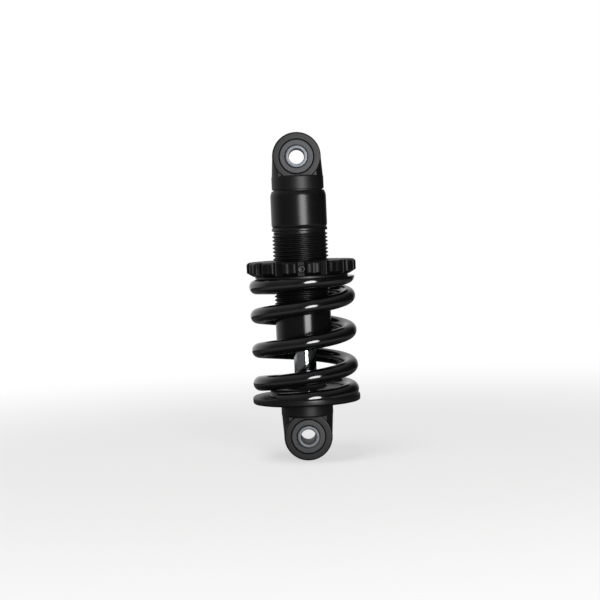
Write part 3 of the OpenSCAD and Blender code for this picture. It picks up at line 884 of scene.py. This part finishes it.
# Eye bushes and pivot sleeves
# A plain grey nylon bush is pressed into each eye, and a zinc-plated steel sleeve turns in it.
# The bolt clamps the sleeve, so each sleeve stands a little proud of its eye.
nylon, tree, shader, place = new_finish("moulded_grey_nylon")
clouds = add(tree, "TexNoise", {"Vector": place, "Scale": 1 / (3 * mm), "Detail": 4})
tone = add(
    tree, "Mix", {0: clouds.outputs["Fac"], 6: linear("#2b2c2e"), 7: linear("#3b3c3f")},
    data_type="RGBA"
)
waxy = add(tree, "MapRange", {"Value": clouds.outputs["Fac"], "To Min": 0.4, "To Max": 0.55})
bump = add(tree, "Bump", {"Height": clouds.outputs["Fac"], "Strength": 0.1, "Distance": 0.05 * mm})
tree.links.new(tone.outputs[2], shader.inputs["Base Color"])
tree.links.new(waxy.outputs[0], shader.inputs["Roughness"])
tree.links.new(bump.outputs[0], shader.inputs["Normal"])
sleeve_radius = 6 * mm
bolt_radius = 4.1 * mm
bush_bore = sleeve_radius + run_gap
bush_half = eye_width / 2
bush_edge = 0.4 * mm
for end, bearer, height in (("upper", "damper", 0), ("lower", "plunger", lower_height)):
    bush = piece(placed(turned([
        (bush_bore, -bush_half, bush_edge),
        (bush_radius - slip, -bush_half, bush_edge),
        (bush_radius - slip, bush_half, bush_edge),
        (bush_bore, bush_half, bush_edge),
    ]), turn=90, move=(0, 0, height)), f"nylon_bush_{end}", nylon)
    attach(bush, bearer)
    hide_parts(f"{end}_bush")
    sleeve_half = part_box(f"{end}_sleeve")[1].y
    sleeve = piece(placed(turned([
        (bolt_radius, -sleeve_half, 0.3 * mm),
        (sleeve_radius, -sleeve_half, 0.5 * mm),
        (sleeve_radius, sleeve_half, 0.5 * mm),
        (bolt_radius, sleeve_half, 0.3 * mm),
    ]), turn=90, move=(0, 0, height)), f"steel_sleeve_{end}", zinc)
    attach(sleeve, f"{end}_pivot")
    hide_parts(f"{end}_sleeve")

# Pieces inside the damper
# The floating piston, the valve stack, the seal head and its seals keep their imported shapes, in their own
# finishes: bare turned aluminium, sintered bronze, and the zinc, rubber and anodising used above.
bare, tree, shader, place = new_finish("turned_bare_aluminium")
marks = turning_marks(tree, place, 0.6 * mm)
tone = add(tree, "Mix", {0: marks, 6: linear("#a9acb0"), 7: linear("#c3c6c9")}, data_type="RGBA")
dull = add(tree, "MapRange", {"Value": marks, "To Min": 0.28, "To Max": 0.4})
tree.links.new(tone.outputs[2], shader.inputs["Base Color"])
tree.links.new(dull.outputs[0], shader.inputs["Roughness"])
shader.inputs["Metallic"].default_value = 1

bronze, tree, shader, place = new_finish("sintered_bronze")
pores = add(tree, "TexVoronoi", {"Vector": place, "Scale": 1 / (0.5 * mm)})
tone = add(
    tree, "Mix", {0: pores.outputs["Distance"], 6: linear("#6d5430"), 7: linear("#a5854f")},
    data_type="RGBA"
)
dull = add(tree, "MapRange", {"Value": pores.outputs["Distance"], "To Min": 0.6, "To Max": 0.4})
tree.links.new(tone.outputs[2], shader.inputs["Base Color"])
tree.links.new(dull.outputs[0], shader.inputs["Roughness"])
shader.inputs["Metallic"].default_value = 1

inside = {
    bare: ["floating_piston", "piston"],
    bronze: ["piston_band", "shaft_bush"],
    zinc: ["piston_nut", "compression_shims", "rebound_shims", "retaining_ring"],
    rubber: [
        "cap_o_ring", "floating_piston_o_ring", "seal_head_o_ring", "shaft_seal", "shaft_wiper",
        "top_out_bumper"
    ],
    black_anodised: ["seal_head"],
}
for finish, names in inside.items():
    for name in names:
        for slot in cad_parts[name].material_slots:
            slot.material = finish

# Floor and studio
# A pale floor that runs on into a white room. It keeps the object's soft shadow near by and is plain white
# further off. In gloss it glows with a painted level that the object mirrors: palest a little way in front,
# dim behind, dark far off, and with painted shade under the object.
floor_height = cad_low.z
floor_reach = 0.6
near = 0.12
far = 0.55
sheet = bmesh.new()
bmesh.ops.create_circle(sheet, cap_ends=True, segments=64, radius=floor_reach)
bmesh.ops.translate(sheet, verts=sheet.verts[:], vec=(0, 0, floor_height))
floor_paint, tree, shader, place = new_finish("pale_studio_floor")
shader.inputs["Base Color"].default_value = linear("#f2f2f1")
shader.inputs["Roughness"].default_value = 0.7
shader.inputs["Specular IOR Level"].default_value = 0.2
flat = add(tree, "Mapping", {"Vector": place, "Scale": (1, 1, 0)})
distance = add(tree, "VectorMath", {0: flat.outputs[0]}, operation="LENGTH")
away = add(
    tree, "MapRange", {"Value": distance.outputs["Value"], "From Min": near, "From Max": far, "To Min": 0.6},
    interpolation_type="SMOOTHSTEP"
)
ray = add(tree, "LightPath")
# Painted shade: in gloss the floor's glow fades out round the object's foot, and it fades again far off.
painted_shade_round_foot = add(
    tree, "MapRange", {"Value": distance.outputs["Value"], "From Min": 0.04, "From Max": 0.2, "To Max": 0.4},
    interpolation_type="SMOOTHSTEP"
)
painted_glow_ring = add(
    tree, "MapRange",
    {"Value": distance.outputs["Value"], "From Min": 0.25, "From Max": floor_reach,
     "To Min": painted_shade_round_foot.outputs[0], "To Max": 0.06},
    interpolation_type="SMOOTHSTEP"
)
axes = add(tree, "SeparateXYZ", {0: place})
in_front = add(
    tree, "MapRange", {"Value": axes.outputs["Y"], "From Min": 0.12, "From Max": -0.12, "To Min": 0.25},
    interpolation_type="SMOOTHSTEP"
)
in_gloss = add(tree, "Math", {0: painted_glow_ring.outputs[0], 1: in_front.outputs[0]}, operation="MULTIPLY")
strength = add(
    tree, "Mix", {0: ray.outputs["Is Glossy Ray"], 2: 1.0, 3: in_gloss.outputs[0]}, data_type="FLOAT"
)
white = add(tree, "Emission", {"Color": linear("#ffffff"), "Strength": strength.outputs[0]})
seen = add(tree, "Math", {0: ray.outputs["Is Camera Ray"], 1: away.outputs[0]}, operation="MULTIPLY")
through = add(tree, "Math", {0: seen.outputs[0], 1: ray.outputs["Is Transmission Ray"]}, operation="MAXIMUM")
glowing = add(tree, "Math", {0: through.outputs[0], 1: ray.outputs["Is Glossy Ray"]}, operation="MAXIMUM")
upper_side = add(tree, "MixShader", {0: glowing.outputs[0], 1: shader.outputs["BSDF"], 2: white.outputs[0]})
under = add(tree, "NewGeometry").outputs["Backfacing"]
clear = add(tree, "BsdfTransparent")
both_sides = add(tree, "MixShader", {0: under, 1: upper_side.outputs[0], 2: clear.outputs[0]})
tree.links.new(both_sides.outputs[0], tree.nodes["Material Output"].inputs["Surface"])
floor = piece(sheet, "floor", floor_paint)

# The room: white where the camera looks. In gloss it is pale behind and above, grey on the left and dark
# on the right.
world = bpy.data.worlds.new("white_room")
bpy.context.scene.world = world
world.use_nodes = True
tree = world.node_tree
tree.nodes.clear()
ray = add(tree, "LightPath")
toward = add(tree, "TexCoord").outputs["Generated"]
bright_side = Vector((-0.5, 0.86, 0.1)).normalized()
facing = add(tree, "VectorMath", {0: toward, 1: bright_side}, operation="DOT_PRODUCT")
behind = add(
    tree, "MapRange", {"Value": facing.outputs["Value"], "From Min": 0.3, "From Max": 1, "To Max": 0.55},
    interpolation_type="SMOOTHSTEP"
)
axes = add(tree, "SeparateXYZ", {0: toward})
left = add(
    tree, "MapRange",
    {"Value": axes.outputs["X"], "From Min": 0.2, "From Max": -0.4, "To Min": 0.012, "To Max": 0.14},
    interpolation_type="SMOOTHSTEP"
)
above = add(
    tree, "MapRange", {"Value": axes.outputs["Z"], "From Min": 0.3, "From Max": 0.9, "To Max": 0.2},
    interpolation_type="SMOOTHSTEP"
)
sides = add(tree, "Math", {0: behind.outputs[0], 1: left.outputs[0]}, operation="ADD")
room_in_gloss = add(tree, "Math", {0: sides.outputs[0], 1: above.outputs[0]}, operation="ADD")
glossy = add(
    tree, "Math", {0: ray.outputs["Is Glossy Ray"], 1: ray.outputs["Is Transmission Ray"]},
    operation="MAXIMUM"
)
plain = 0.2
unseen = add(tree, "Mix", {0: glossy.outputs[0], 2: plain, 3: room_in_gloss.outputs[0]}, data_type="FLOAT")
level = add(tree, "Mix", {0: ray.outputs["Is Camera Ray"], 2: unseen.outputs[0], 3: 1.0}, data_type="FLOAT")
light = add(tree, "Background", {"Color": linear("#ffffff"), "Strength": level.outputs[0]})
add(tree, "OutputWorld", {"Surface": light.outputs[0]})

# Lamps: a tall soft box in front, a little to the right and level with the damper, and one above for its
# shadow. The one above isn't mirrored, as the photograph shows no second light on the wire.
middle = Vector((0, 0, (cad_low.z + cad_high.z) / 2))


def soft_box(name, azimuth, elevation, distance, width, height, power):
    """An oval lamp that faces the object's middle. Azimuth 0 is the camera's side, positive to the right."""
    lamp = bpy.data.lights.new(name, "AREA")
    lamp.shape = "ELLIPSE"
    lamp.size = width
    lamp.size_y = height
    lamp.energy = power
    stand = bpy.data.objects.new(name, lamp)
    around = math.radians(azimuth)
    rise = math.radians(elevation)
    outward = Vector((math.sin(around) * math.cos(rise), -math.cos(around) * math.cos(rise), math.sin(rise)))
    stand.location = middle + outward * distance
    stand.rotation_euler = outward.to_track_quat("Z", "Y").to_euler()
    bpy.context.scene.collection.objects.link(stand)
    return stand


soft_box("key_soft_box", azimuth=17.5, elevation=3, distance=1.1, width=0.5, height=0.75, power=12.5)
top_lamp = soft_box("top_soft_box", azimuth=-30, elevation=70, distance=1, width=0.5, height=0.5, power=4)
top_lamp.visible_glossy = False

# Camera
# The photograph's view: level with the damper, from a long way off, and turned so that the damper leans.
lens = 100
sensor = 36
camera_distance = 0.9
elevation = math.radians(3)
lean = math.radians(2.5)
aim = Vector((-1.4 * mm, 0, -77 * mm))
camera = bpy.data.objects.new("camera", bpy.data.cameras.new("camera"))
camera.data.lens = lens
camera.data.sensor_width = sensor
camera.data.clip_start = 0.01
back = Vector((0, -math.cos(elevation), math.sin(elevation)))
camera.location = aim + back * camera_distance
camera.rotation_mode = "QUATERNION"
camera.rotation_quaternion = back.to_track_quat("Z", "Y") @ Matrix.Rotation(-lean, 3, "Z").to_quaternion()
bpy.context.scene.collection.objects.link(camera)
bpy.context.scene.camera = camera
bpy.context.scene.view_settings.view_transform = "Standard"
